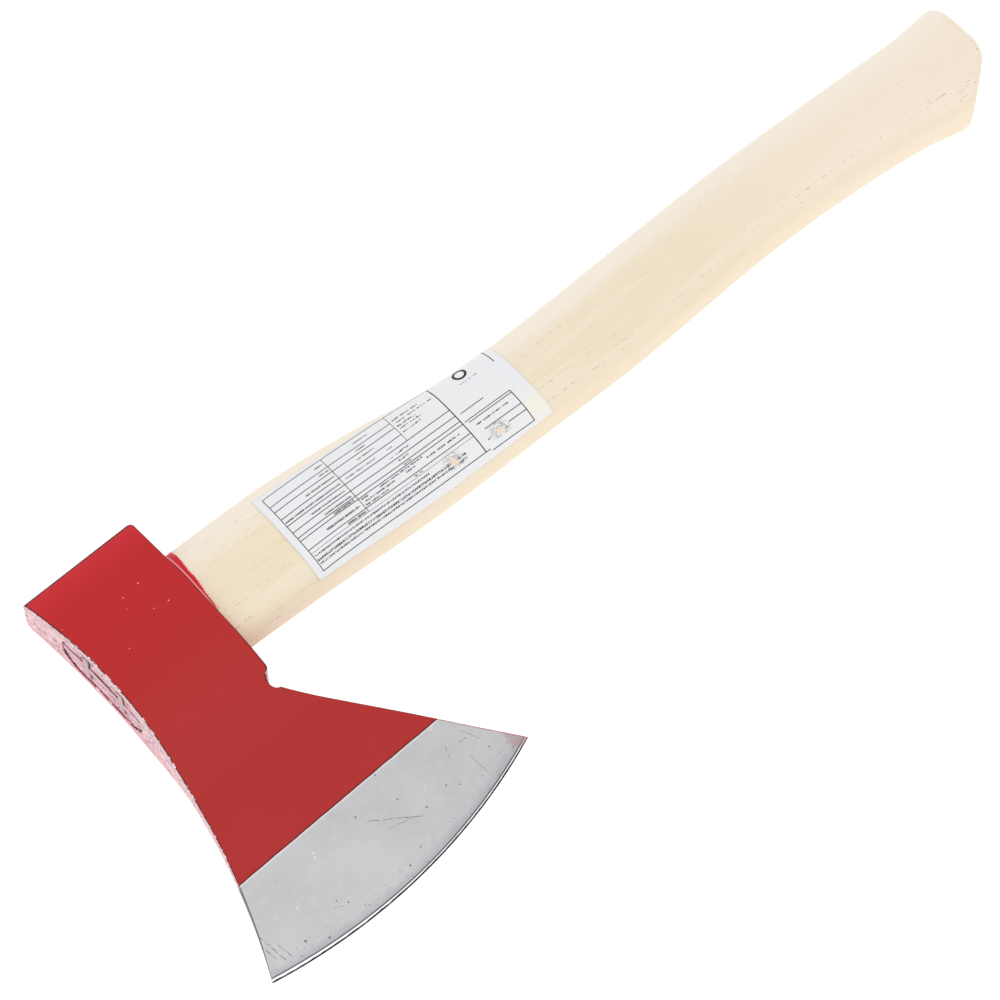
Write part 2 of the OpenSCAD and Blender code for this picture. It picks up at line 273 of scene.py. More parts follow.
offsets = np.array([ARC_FROM, 3.2, 2.5, 2.0, HONE_W + 0.03, HONE_W - 0.03, 1.1, 0.6, 0.25, 0.0])
down = np.linspace(0, 1, 64)[1:-1]


def levels_along(wall, lowest):
    """Levels of the loops on one wall; the last ones are where the wall crosses the arcs inside the edge."""
    y = np.linspace(plain_y[-1], lowest, 4000)
    crossed = np.interp(EDGE_R - offsets, np.hypot(wall(y) - edge_centre[0], y - edge_centre[1]), y)
    return np.concatenate([poll_rows[:, 0], plain_y, plain_y[-1] + (crossed[0] - plain_y[-1]) * down, crossed])


left_y, right_y = levels_along(toe_side, toe_y), levels_along(handle_side, heel_y)
last_row = len(left_y) - len(offsets)
bend = np.concatenate([np.zeros(len(poll_rows) + len(plain_y)), down, np.ones(len(offsets))])
arc_r = EDGE_R - np.concatenate([np.full(last_row, ARC_FROM), offsets])
print("loops:", len(left_y), "eye rows", EYE_TOP, EYE_LOW)

# %% [markdown]
# Now the loops themselves. Across the cheeks a row is straight at first; `bend` mixes it with the arc round the
# edge's centre. Each corner is a quarter circle whose radius shrinks with the thickness, so it fades out at the
# edge. The poll face is a cap: its loops shrink towards the middle line at the same pace on all sides.

# %% Loops of the head
CHEEK_N, WALL_N, ARC_N = 56, 14, 4
ROUNDING = 0.75
u = bunched(CHEEK_N)[None, :]
xl, xr = toe_side(left_y)[:, None], handle_side(right_y)[:, None]
fixed = len(poll_rows)


def sheet_height(x, y):
    """Half thickness at a point: the cheek or the ground face, whichever is lower."""
    return soft_min(cheek(y), ground(x, y), 0.02)


def row_heights(x, y):
    """sheet_height, with the poll's rounding given separately, because there the level alone doesn't say how high."""
    h = sheet_height(x, y)
    h[:fixed] = poll_rows[:, 1:2]
    h[-1] = 0.0
    return np.clip(h, 0, None)


left_h, right_h = row_heights(xl, left_y[:, None]), row_heights(xr, right_y[:, None])
rl, rr = np.minimum(ROUNDING, 0.42 * left_h), np.minimum(ROUNDING, 0.42 * right_h)
across = (xl + rl) + u * ((xr - rr) - (xl + rl))
straight = left_y[:, None] + (right_y - left_y)[:, None] * u
arc = edge_centre[1] - np.sqrt(arc_r[:, None] ** 2 - (across - edge_centre[0]) ** 2)
target = edge_centre[1] - np.sqrt(arc_r[last_row] ** 2 - (across - edge_centre[0]) ** 2)
chord = left_y[last_row] + (right_y - left_y)[last_row] * u
sag = np.where(np.arange(len(left_y))[:, None] < last_row, target[last_row] - chord, 0)
level = np.where(bend[:, None] >= 1, arc, straight + bend[:, None] * sag)
height = row_heights(across, level)
forged = smooth_step(POLL, 24, level) * smooth_step(-88, -74, level) * np.sin(np.pi * u)
height = height - 0.05 * (1 + waves(across, level, [31, 23, 47, 17], 3)) * forged
a = np.linspace(0, np.pi / 2, ARC_N + 1)
corner = np.stack([np.sin(a), np.cos(a)])
wall = 1 - 2 * bunched(WALL_N, 0.5)[1:-1]
top = spread(across, level, height)
ends = []
for x_end, y_end, h_end, r, side in ((xr, right_y, right_h, rr, 1), (xl, left_y, left_h, rl, -1)):
    quarter = spread(x_end + side * r * (corner[0] - 1), y_end[:, None], h_end + r * (corner[1] - 1))
    ends.append((quarter, spread(x_end, y_end[:, None], (h_end - r) * wall)))
(right_top, right_wall), (left_top, left_wall) = ends
flip = np.array([1, 1, -1])
loop = np.concatenate([
    top[:, 1:-1], right_top, right_wall, (right_top * flip)[:, ::-1],
    (top * flip)[:, 1:-1][:, ::-1], left_top * flip, left_wall[:, ::-1], left_top[:, ::-1]
], 1)
inset = np.linspace(0, 1, 8)[1:, None, None]
poll_loop = loop[0]
poll_mid_x = np.clip(poll_loop[:, 0], xl[0, 0] + POLL_HALF, xr[0, 0] - POLL_HALF)
core = spread(poll_mid_x, poll_loop[:, 1], 0)
dish = 0.12 * (1 - (1 - inset) ** 2) * np.array([0, -1, 0])
poll_cap = (poll_loop + (core - poll_loop) * inset + dish)[::-1]
loop = np.concatenate([poll_cap, loop])
cap_n = len(poll_cap)
COLS = loop.shape[1]
print("loop grid", loop.shape)

# %% [markdown]
# The eye is a slot with round ends that runs right through from wall to wall. A boolean would cut it, but it leaves
# long thin faces that shade badly. Instead we leave a window out of the grid in both walls. Each point on the
# window's border has one partner on the slot, the nearest one, so a few rings between them close the wall, a few
# more round the lip, and the last rings of both walls are joined through the head.

# %% The eye
EYE_R, EYE_C = 9.75, 10.0
R_FIRST = CHEEK_N - 1 + ARC_N
L_FIRST = 2 * (CHEEK_N - 1) + 2 * (ARC_N + 1) + (WALL_N - 1) + ARC_N
row_a, row_b = EYE_TOP + cap_n, EYE_LOW + cap_n


def window(first, upward):
    """Indices along the border of a wall's window, always starting at the poll end's lower corner."""
    cols = np.arange(first, first + WALL_N + 1)
    cols = cols if upward else cols[::-1]
    inner = np.arange(row_a + 1, row_b)
    return np.concatenate([
        row_a * COLS + cols, inner * COLS + cols[-1], row_b * COLS + cols[::-1], inner[::-1] * COLS + cols[0]
    ])


def band(previous, ids):
    """Quads between two rings with the same number of points."""
    return np.stack([previous, np.roll(previous, -1), np.roll(ids, -1), ids], -1)


def slot_points(border, grow):
    """Nearest point of the slot to each border point: a clamped centre plus a unit direction times the radius."""
    centre = np.clip(border[:, 1], -EYE_C, EYE_C)
    away = np.stack([border[:, 1] - centre, border[:, 2]], 1)
    away /= np.linalg.norm(away, axis=1)[:, None]
    return np.stack([centre, np.zeros(len(border))], 1) + away * (EYE_R + grow)


points = loop.reshape(-1, 3)
quads = grid_faces(len(loop), COLS, True)
row_of, col_of = quads[:, 0] // COLS, quads[:, 0] % COLS
in_rows = (row_of >= row_a) & (row_of < row_b)
in_window = [(col_of >= first) & (col_of < first + WALL_N) for first in (L_FIRST, R_FIRST)]
quads = quads[~(in_rows & (in_window[0] | in_window[1]))]
ring_plan = [(0.5, 0.75, 0), (1, 0.75, 0), (1, 0.25, 0.07), (1, 0.04, 0.3), (1, 0, 0.8)]
all_points, all_faces = [points], [quads]


def add_ring(ring, previous):
    """Adds a ring of points and the band that joins it to the ring before; returns the new points' numbers."""
    first = sum(len(part) for part in all_points)
    ids = np.arange(first, first + len(ring))
    all_points.append(ring)
    all_faces.append(band(previous, ids))
    return ids


bore_ends = []
for previous, side in ((window(L_FIRST, True), -1), (window(R_FIRST, False), 1)):
    border = points[previous]
    for share, grow, depth in ring_plan:
        yz = border[:, 1:] + (slot_points(border, grow) - border[:, 1:]) * share
        wall_x = toe_side(yz[:, 0]) if side < 0 else np.zeros(len(yz))
        ring = np.column_stack([wall_x - side * depth, yz])
        previous = add_ring(ring, previous)
    bore_ends.append((previous, ring))
(left_ids, left_ring), (right_ids, right_ring) = bore_ends
previous = left_ids
for share in np.linspace(0, 1, 12)[1:-1]:
    previous = add_ring(left_ring + (right_ring - left_ring) * share, previous)
all_faces.append(band(previous, right_ids))
head_points = np.concatenate(all_points)
head = build("forged_head", head_points, np.concatenate(all_faces).tolist(), "head", ["axe_head"], 28)

# %% [markdown]
# ## The handle
# The handle is sawn from a board and sanded round: flat on both sides, rounded along the back, fuller along the
# belly, and cut off at a slant at the butt. Two lines (the back and the belly) say how deep it is at each distance
# from the head. The section between them is a superellipse, a circle whose corners are pushed out by a power, and
# the power grows at the butt, where the belly is cut square.

# %% Lines of the handle
BACK_LINE = np.array([[0, 21.3], [40, 20.1], [73, 16.2], [104, 10.6], [132, 8.6], [200, 8.9], [240, 8.8],
                      [290, 6.6], [313, 5.6], [333, 6.4]])
BELLY_LINE = np.array([[0, -20], [40, -22.1], [80, -24.9], [130, -26], [165, -26.8], [225, -25.3],
                       [260, -26.5], [290, -29.6], [313, -34], [333, -38]])
BUTT_R, CUT_Y, CUT_SLOPE, CUT_SOFT = 4.0, -20.0, 0.8, 2.2
HALF_GRIP, SWELL, GIRTH = 10.2, 1.1, 110.0
BACK_POWER, BELLY_POWER, BUTT_POWER = 2.5, 3.1, 6.0


def through(line, x):
    """A smooth curve through a few points: between two of them a cubic that takes its slopes from their neighbours."""
    n = np.arange(len(line))
    before, after = np.maximum(n - 1, 0), np.minimum(n + 1, n[-1])
    slope = (line[after, 1] - line[before, 1]) / (line[after, 0] - line[before, 0])
    i = np.clip(np.searchsorted(line[:, 0], x, side="right") - 1, 0, n[-1] - 1)
    h = line[i + 1, 0] - line[i, 0]
    t = (x - line[i, 0]) / h
    values = line[i, 1] * (2 * t**3 - 3 * t * t + 1) + line[i + 1, 1] * (3 * t * t - 2 * t**3)
    return values + h * slope[i] * (t**3 - 2 * t * t + t) + h * slope[i + 1] * (t**3 - t * t)


def rim(x):
    """How far the rounded rim at the butt pulls every side in: a quarter circle over the last few millimetres."""
    d = np.clip(x - (GRIP - BUTT_R), 0, BUTT_R)
    return BUTT_R - np.sqrt(BUTT_R**2 - d * d)


def back(x):
    return through(BACK_LINE, x) - rim(x)


def belly(x):
    """The belly line or the slanted cut, whichever is higher, with the corner between them softened."""
    line, cut = through(BELLY_LINE, x), CUT_Y - (GRIP - x) * CUT_SLOPE
    return (line + cut + np.sqrt((line - cut) ** 2 + CUT_SOFT**2)) / 2 + rim(x)


def skin(x, angle, out=0.0):
    """Point on the handle at distance x and an angle from the back (degrees), lifted by out: a superellipse."""
    c, s = np.cos(np.radians(angle)), np.sin(np.radians(angle))
    power = 2 / np.where(c > 0, BACK_POWER, BELLY_POWER + (BUTT_POWER - BELLY_POWER) * smooth_step(300, 326, x))
    mid, depth = (back(x) + belly(x)) / 2, (back(x) - belly(x)) / 2
    half = HALF_GRIP + SWELL * smooth_step(60, GRIP, x) - rim(x)
    y = mid + (depth + out) * np.sign(c) * np.abs(c) ** power
    z = (half + out) * np.sign(s) * np.abs(s) ** power
    return spread(x, y, z)


ENDS = np.array([0.0, GRIP])
print("depth of the handle at the head and at the butt (mm)", back(ENDS) - belly(ENDS))

# %% The grip, from the head to the butt
SIDES_N = 112
round_a = (np.arange(SIDES_N) + 0.5) * 360 / SIDES_N
round_a = round_a - 4.5 * np.sin(np.radians(2 * round_a))
lengths = np.concatenate([
    [0.02], np.linspace(0.6, 296, 200), np.linspace(296, GRIP - BUTT_R, 34)[1:],
    GRIP - BUTT_R + BUTT_R * np.sin(np.radians(np.linspace(0, 88, 12)))[1:]
])
far_x, around = np.meshgrid(lengths, round_a, indexing="ij")
grip_loops = skin(far_x, around)
arc_mm = around / 360 * GIRTH
sanding = 0.09 * waves(far_x * 0.5, arc_mm, [19, 27, 41, 13], 8) + 0.03 * waves(far_x, arc_mm, [9, 7], 5)
sanding *= smooth_step(0, 12, far_x) * smooth_step(GRIP, GRIP - 8, far_x)
middle = grip_loops.mean(1, keepdims=True)
outward = (grip_loops - middle) * np.array([0, 1, 1])
outward /= np.linalg.norm(outward, axis=2, keepdims=True)
grip_loops = grip_loops + outward * sanding[..., None]


def butt_end(cap):
    """A sawn end is hardly flat: it sinks a little towards its middle."""
    sunk = cap.copy()
    out = np.linalg.norm((cap - cap[-1:])[..., 1:], axis=2) / 16
    sunk[..., 0] -= 0.25 * smooth_step(1, 0, out)
    return sunk


grip_points, grip_faces = solid_of(grip_loops, 9, far=butt_end)
grip = build("handle_grip", grip_points, grip_faces, "handle_wood", ["handle"], 40)

# %% [markdown]
# ## Tenon and wedges
# The handle's end fills the eye as a tenon. A saw cut splits it along its length, a wooden wedge opens the cut, and
# two steel wedges driven across it hold everything tight. On the real axe the wood ends a little below the wall and
# opens in dark gaps next to the steel. We make the tenon as two halves with a tapering cut between them and press
# their end grain in around the steel as geometry; the wood's finish also paints the gaps dark, as painted shade.

# %% Tenon halves
WOOD_WEDGE_T, WOOD_WEDGE_DEPTH, WOOD_TIP = 4.2, 28.0, 0.8
STEEL_PITCH, STEEL_W, STEEL_T, STEEL_DEPTH, STEEL_TIP = 17.0, 13.0, 2.4, 20.0, 0.5
TENON_R, CUT_GAP = 9.68, 0.03
ROUND_N, FLAT_N, CUT_N = 20, 40, 72


def cut_half(x):
    """Half width of the saw cut at x, opened by the wooden wedge: it closes evenly with the depth."""
    deep = np.clip((x + WAIST_W) / WOOD_WEDGE_DEPTH, -0.2, 1)
    return (WOOD_WEDGE_T + (WOOD_TIP - WOOD_WEDGE_T) * deep) / 2


def half_slot(x):
    """Outline of one tenon half at x: quarter circle, flat, quarter circle, then back along the saw cut."""
    low = cut_half(x) + CUT_GAP
    a_round = np.linspace(np.arcsin(low / TENON_R), np.pi / 2, ROUND_N)
    flat_y = np.linspace(EYE_C, -EYE_C, FLAT_N + 2)[1:-1]
    side_y = EYE_C + TENON_R * np.cos(a_round)
    side_z = TENON_R * np.sin(a_round)
    cut_y = np.linspace(-side_y[0], side_y[0], CUT_N + 2)[1:-1]
    y = np.concatenate([side_y, flat_y, -side_y[::-1], cut_y])
    z = np.concatenate([side_z, np.full(FLAT_N, TENON_R), side_z[::-1], np.full(CUT_N, low)])
    return spread(x, y, z)


def end_grain(yz):
    """How far the end grain lies below the wall: a little everywhere, deeper round the steel, rough in between."""
    y, z = yz[..., 0], yz[..., 1]
    sunk = 0.45 + 0.10 * waves(y, z, [2.1, 3.3, 5.0, 1.4], 21)
    for centre in (STEEL_PITCH / 2, -STEEL_PITCH / 2):
        side = np.maximum(np.abs(y - centre) - STEEL_T / 2, np.abs(z) - STEEL_W / 2)
        sunk = sunk + 0.9 * np.exp(-(np.clip(side, 0, None) / 0.55) ** 2)
    rim_gap = TENON_R - np.hypot(np.clip(np.abs(y) - EYE_C, 0, None), z)
    return sunk + 0.35 * np.exp(-(rim_gap / 0.5) ** 2)


def tenon_end(cap):
    """The cap follows the head's hollow end, sunk by end_grain."""
    return spread(toe_side(cap[..., 1]) + end_grain(cap[..., 1:]), cap[..., 1], cap[..., 2])


tenon_points, tenon_faces = [], []
for mirrored in (1, -1):
    depths = np.concatenate([[-40.0], np.linspace(-39, 0.5, 20)])
    halves = np.stack([half_slot(x) for x in depths])
    halves[0, :, 0] = toe_side(halves[0, :, 1]) + end_grain(halves[0, :, 1:])
    half_points, half_faces = solid_of(halves, 22, near=tenon_end)
    tenon_faces.extend((np.array(half_faces) + len(tenon_points) * len(half_points)).tolist())
    tenon_points.append(half_points * np.array([1, 1, mirrored]))
tenon = build("handle_tenon", np.concatenate(tenon_points), tenon_faces, "handle_wood", ["handle"], 40)


# %% Wooden and steel wedges
def wedge(name, nodes, slot_name, centre_y, width_y, width_z, tip, depth, along_y, sunk, power, seed):
    """Loops of a rounded rectangle that gets thinner with the depth, with an uneven, slightly burred outer end."""
    x = np.concatenate([[0.0, 0.25], np.linspace(0.8, depth, 12)])
    t = (np.arange(72) + 0.5) * 2 * np.pi / 72
    c, s = np.cos(t), np.sin(t)
    deep = x / depth
    thick = (width_z if along_y else width_y) * (1 - deep) + tip * deep
    thick = thick / 2 * np.where(x < 0.1, 0.86, 1)
    long = (width_y if along_y else width_z) / 2 * np.where(x < 0.1, 0.985, 1)
    a_side, b_side = (long, thick) if along_y else (thick, long)
    y = centre_y + a_side[:, None] * np.sign(c) * np.abs(c) ** (2 / power)
    z = b_side[:, None] * np.sign(s) * np.abs(s) ** (2 / power)

    def outer_end(y, z):
        return toe_side(y) + sunk + 0.05 * waves(y, z, [1.7, 2.9, 4.1], seed)

    def struck(cap):
        return spread(outer_end(cap[..., 1], cap[..., 2]) - 0.06, cap[..., 1], cap[..., 2])

    solid = solid_of(spread(outer_end(y, z) + x[:, None], y, z), 10, near=struck)
    return build(name, *solid, slot_name, nodes, 40)


wood_wedge = wedge("wedge_of_wood", ["wooden_wedge"], "wedge_wood", 0, 38.9, WOOD_WEDGE_T - 0.1, WOOD_TIP,
                   WOOD_WEDGE_DEPTH, True, 0.35, 14, 31)
steel_a = wedge("wedge_of_steel_poll_side", ["steel_wedge_poll"], "wedge_steel", STEEL_PITCH / 2, STEEL_T,
                STEEL_W, STEEL_TIP, STEEL_DEPTH, False, 0.12, 10, 41)
steel_b = wedge("wedge_of_steel_edge_side", ["steel_wedge_edge"], "wedge_steel", -STEEL_PITCH / 2, STEEL_T,
                STEEL_W, STEEL_TIP, STEEL_DEPTH, False, 0.16, 10, 43)

# %% [markdown]
# ## The label
# A paper label is stuck on the near side of the handle and bends over its rounded back. It is a sheet, so we make it
# as one: a grid of points on the handle's own skin, lifted by the thickness of the glue, which Solidify turns into
# paper. Its UV map is in decimetres of paper: u runs along the handle and v up from the lower rule, following the
# slight arch of the print, so the printing can be drawn with a ruler, whatever the paper is stuck on.

# %% The sheet and its measure
LABEL_X, LABEL_LEN, LABEL_UP = 33.2, 96.3, 36.4
UP_N, LONG_N = 96, 200
SLANT, ARCH_UP, ARCH_MID, ARCH_HALF = 0.03, 1.25, 85.0, 50.0
GLUE, PAPER_T = 0.13, 0.14


def label_arch(x):
    """How far the print is arched upwards at distance x: a parabola with its top above the middle of the label."""
    return ARCH_UP - ARCH_UP * ((x - ARCH_MID) / ARCH_HALF) ** 2


def label_sheet():
    """Points of the sheet, with u and v in mm: at each distance, angles are spaced by arc length from the belly."""
    dense = np.linspace(153, 4, 1200)
    xs = np.linspace(LABEL_X, LABEL_X + LABEL_LEN, LONG_N + 1)
    grid_x, grid_a = np.meshgrid(xs, dense, indexing="ij")
    trace = skin(grid_x, grid_a, 0.2)
    run = np.concatenate([np.zeros((len(xs), 1)), np.cumsum(np.linalg.norm(np.diff(trace, axis=1), axis=2), 1)], 1)
    along, v = np.meshgrid(xs, LABEL_UP * bunched(UP_N, 0.2), indexing="ij")
    angle = np.stack([np.interp(v[k], run[k], dense) for k in range(len(xs))])
    x = along + SLANT * (v - 18) * (1 - (along - LABEL_X) / LABEL_LEN)
    lifted = GLUE + 0.03 * waves(x, v, [11, 17, 7, 29], 12) + 0.10 * smooth_step(4, 0, np.hypot(x - 130, v - 3))
    return skin(x, angle, lifted), x, v


sheet, sheet_x, sheet_v = label_sheet()
sheet_faces = grid_faces(LONG_N + 1, UP_N + 1, False)
label = build("paper_label", sheet.reshape(-1, 3), sheet_faces.tolist(), "label_paper", ["label"], 60)
print_u = (sheet_x - SLANT * (sheet_v - 34)).reshape(-1)
print_v = (sheet_v - label_arch(sheet_x)).reshape(-1)
corner_ids = np.zeros(len(label.data.loops), int)
label.data.loops.foreach_get("vertex_index", corner_ids)
uv = label.data.uv_layers.new(name="print")
uv.data.foreach_set("uv", (np.stack([print_u, print_v], 1)[corner_ids] / 100).astype(np.float32).ravel())
normals = np.zeros(len(label.data.polygons) * 3)
label.data.polygons.foreach_get("normal", normals)
facing_up = normals.reshape(-1, 3)[:, 2].mean() > 0
if not facing_up:
    label.data.flip_normals()
paper = label.modifiers.new("paper", "SOLIDIFY")
paper.thickness = PAPER_T / 1000
paper.offset = 1
print("label faces out:", facing_up)

# %% [markdown]
# ## Finishes
# A finish is a little network of nodes. Written out node by node it is long and hard to read, so we wrap one output
# socket in a small class and overload the operators: `1 - mask` or `a * b` then adds its Math node by itself. Any
# other node goes through one method, `add`, which takes the node's settings first and its sockets' values second.

# %% Wires and the bench
class Wire:
    """One output of a node; sums and comparisons of wires add Math nodes behind them."""

    def __init__(self, bench, socket):
        self.bench, self.socket = bench, socket

    def _math(self, operation, *values):
        return self.bench.add("Math", {"operation": operation}, list(values))

    def __add__(self, other):
        return self._math("ADD", self, other)

    def __sub__(self, other):
        return self._math("SUBTRACT", self, other)

    def __rsub__(self, other):
        return self._math("SUBTRACT", other, self)

    def __mul__(self, other):
        return self._math("MULTIPLY", self, other)

    def __truediv__(self, other):
        return self._math("DIVIDE", self, other)

    def __gt__(self, other):
        return self._math("GREATER_THAN", self, other)

    def __lt__(self, other):
        return self._math("LESS_THAN", self, other)

    def __abs__(self):
        return self._math("ABSOLUTE", self)

    def whole(self):
        """The whole number just below."""
        return self._math("FLOOR", self)

    def most(self, other):
        return self._math("MAXIMUM", self, other)

    def least(self, other):
        return self._math("MINIMUM", self, other)

    __radd__, __rmul__ = __add__, __mul__


class Bench:
    """A material in the making. add() puts in any node; the other methods are short names for common ones.

    mm is the place in the frame; from_eye is the same place from the eye's centre, and x, y and z are its parts.
    """

    def __init__(self, name):
        self.material = bpy.data.materials.new(name)
        self.material.use_nodes = True
        self.tree = self.material.node_tree
        self.tree.nodes.clear()
        self.mm = self.vector("SCALE", self.add("TexCoord", {}, {}, "Object"), 1000)
        self.from_eye = self.vector("SUBTRACT", self.mm, ORIGIN.tolist())
        self.x, self.y, self.z = self.split(self.from_eye)

    def add(self, kind, settings, values, out=0):
        node = self.tree.nodes.new("ShaderNode" + kind)
        for key, value in settings.items():
            if key == "stops":
                self._stops(node.color_ramp, value)
            elif key == "blend":
                node.color_ramp.interpolation = value
            else:
                setattr(node, key, value)
        for key, value in values.items() if isinstance(values, dict) else enumerate(values):
            if isinstance(value, Wire):
                self.tree.links.new(value.socket, node.inputs[key])
            else:
                node.inputs[key].default_value = value
        return Wire(self, node.outputs[out])

    def _stops(self, ramp, stops):
        while len(ramp.elements) < len(stops):
            ramp.elements.new(1.0)
        for element, (position, colour) in zip(ramp.elements, stops):
            element.position = position
            element.color = (*colour, 1)

    def split(self, vector):
        """The three parts of a vector."""
        return [Wire(self, part) for part in self.add("SeparateXYZ", {}, [vector]).socket.node.outputs]

    def vector(self, operation, a, b):
        values = {0: a, "Scale": b} if operation == "SCALE" else [a, b]
        return self.add("VectorMath", {"operation": operation}, values)

    def distance(self, a, b):
        return self.add("VectorMath", {"operation": "DISTANCE"}, [a, b], 1)

    def noise(self, stretch=(1, 1, 1), scale=1.0, detail=2.0, rough=0.5, at=None):
        place = self.vector("MULTIPLY", at or self.mm, stretch)
        values = {"Vector": place, "Scale": scale, "Detail": detail, "Roughness": rough}
        return self.add("TexNoise", {}, values)

    def white(self, u, v):
        """One random value between 0 and 1 for each pair of whole numbers."""
        return self.add("TexWhiteNoise", {"noise_dimensions": "2D"}, {"Vector": self.add("CombineXYZ", {}, [u, v, 0])})

    def smooth(self, low, high, value):
        """0 at low, 1 at high, smooth between; low may be the larger of the two."""
        values = {"Value": value, "From Min": low, "From Max": high}
        return self.add("MapRange", {"interpolation_type": "SMOOTHSTEP"}, values)

    def near(self, value, level, outer, inner):
        """A thin line where value passes level: 1 closer than inner, 0 beyond outer."""
        return self.smooth(outer, inner, abs(value - level))

    def mix(self, share, a, b):
        pair = [(*c, 1) if isinstance(c, tuple) else c for c in (a, b)]
        return self.add("Mix", {"data_type": "RGBA"}, {0: share, 6: pair[0], 7: pair[1]}, 2)

    def coats(self, colour, *coats):
        """A base colour under further ones: each has a mask and the card colour that shows where the mask is 1."""
        for mask, card in coats:
            colour = self.mix(mask, colour, srgb(*card))
        return colour

    def bump(self, height, strength, distance_mm):
        values = {"Strength": strength, "Distance": distance_mm / 1000, "Height": height}
        return self.add("Bump", {}, values)

    def close(self, sockets):
        """Ends the material with one Principled shader; sockets holds its constants and its wires."""
        shader = self.add("BsdfPrincipled", {}, sockets)
        out = self.tree.nodes.new("ShaderNodeOutputMaterial")
        self.tree.links.new(shader.socket, out.inputs["Surface"])
        print(self.material.name, len(self.tree.nodes), "nodes")
        return self.material


def srgb(red, green, blue):
    """A colour as a paint card gives it (0 to 255) in the linear light that shaders work in."""
    c = np.array([red, green, blue]) / 255
    return tuple(float(v) for v in np.where(c > 0.04045, ((c + 0.055) / 1.055) ** 2.4, c / 12.92))


def any_of(masks):
    """Where at least one of several masks is 1: the largest of them."""
    return reduce(Wire.most, masks)


def dress(piece, material):
    piece.data.materials.clear()
    piece.data.materials.append(material)


# %% [markdown]
# ### Red paint and bare steel
# The head was dipped in satin red paint and then its blade was ground bare, up to a straight line across it. So one
# shader serves: `bare` is 1 below the line, and it sets the metallic value, the colour and the roughness together.
# The walls carry thinner, scuffed paint than the cheeks, because a rack or a rag touched them while wet; the
# direction of the surface tells the two apart. Marks that happened once, such as chips and scratches, are listed.

# %% Marks on the head, in millimetres from the eye's centre
CHIPS = [(-12.8, 15.6, 0.34), (-19.7, 14.7, 0.30), (-9.7, 3.9, 0.34), (-15.0, 4.9, 0.26), (-41.1, 19.2, 0.22),
         (-29.6, -0.8, 0.26), (-21.5, 10.5, 0.2)]
SCRATCHES = [(-9.3, -91.9, 6.2, -102.5, 0.20), (-5.7, -98.2, 2.7, -100.3, 0.12), (-58.8, -101.5, -57.7, -109.4, 0.22),
             (-60.7, -101.5, -59.6, -107.4, 0.18), (-59.3, -97.2, -58.9, -102.4, 0.18),
             (-56.5, -104.0, -55.4, -109.8, 0.15), (25.8, -89.3, 24.1, -93.2, 0.16), (29.9, -90.8, 33.0, -91.1, 0.18),
             (29.9, -96.3, 30.4, -105.4, 0.11), (-35.5, -106.5, -32.9, -107.8, 0.16), (33.0, -88.0, 36.0, -94.0, 0.12)]
PITS = [(-49.2, -108.8, 0.56), (-42.8, -112.8, 0.53), (-39.5, -115.2, 0.62), (8.0, -100.5, 0.44), (2.7, -92.6, 0.38),
        (2.6, -81.9, 0.38), (-11.2, -88.5, 0.43), (-31.0, -108.0, 0.38), (-33.5, -105.2, 0.35), (17.5, -99.0, 0.38),
        (38.0, -90.5, 0.50), (36.5, -98.0, 0.38), (-8.5, -111.5, 0.44), (-24.0, -116.0, 0.50), (-2.0, -109.0, 0.35),
        (21.0, -101.5, 0.35)]
GLINTS = [(-28.9, -88.8, 0.42), (26.0, -81.9, 0.40), (1.4, -109.0, 0.32), (-29.4, -90.2, 0.34), (-44.5, -99.0, 0.3),
          (12.0, -95.0, 0.28)]
RUSTY_HEEL = [(47.0, -101.0, 7.5)]
PAINT_END, PAINT_TILT = -81.35, 0.0152
print(len(CHIPS), "chips,", len(SCRATCHES), "scratches,", len(PITS), "pits,", len(GLINTS), "glints")


def spots_at(b, places):
    """Round spots, each (x, y, radius): 1 inside, 0 outside, with a soft rim."""
    flat = b.vector("MULTIPLY", b.from_eye, (1, 1, 0))
    return any_of(b.smooth(radius, radius * 0.4, b.distance(flat, (x, y, 0))) for x, y, radius in places)


def scratches_at(b, strokes):
    """Slightly bent strokes, each (from x, from y, to x, to y, half width), broken up by a fine grain."""
    masks = []
    bend = b.noise(scale=0.25, detail=1) * 0.5 - 0.25
    for ax, ay, bx, by, half in strokes:
        length = float(np.hypot(bx - ax, by - ay))
        dx, dy = (bx - ax) / length, (by - ay) / length
        run = (b.x - ax) * dx + (b.y - ay) * dy
        off = abs((b.y - ay) * dx - (b.x - ax) * dy + bend)
        masks.append(b.smooth(half, half * 0.3, off) * (run > 0) * (run < length))
    return any_of(masks) * b.smooth(0.36, 0.56, b.noise(scale=1.1, detail=2))


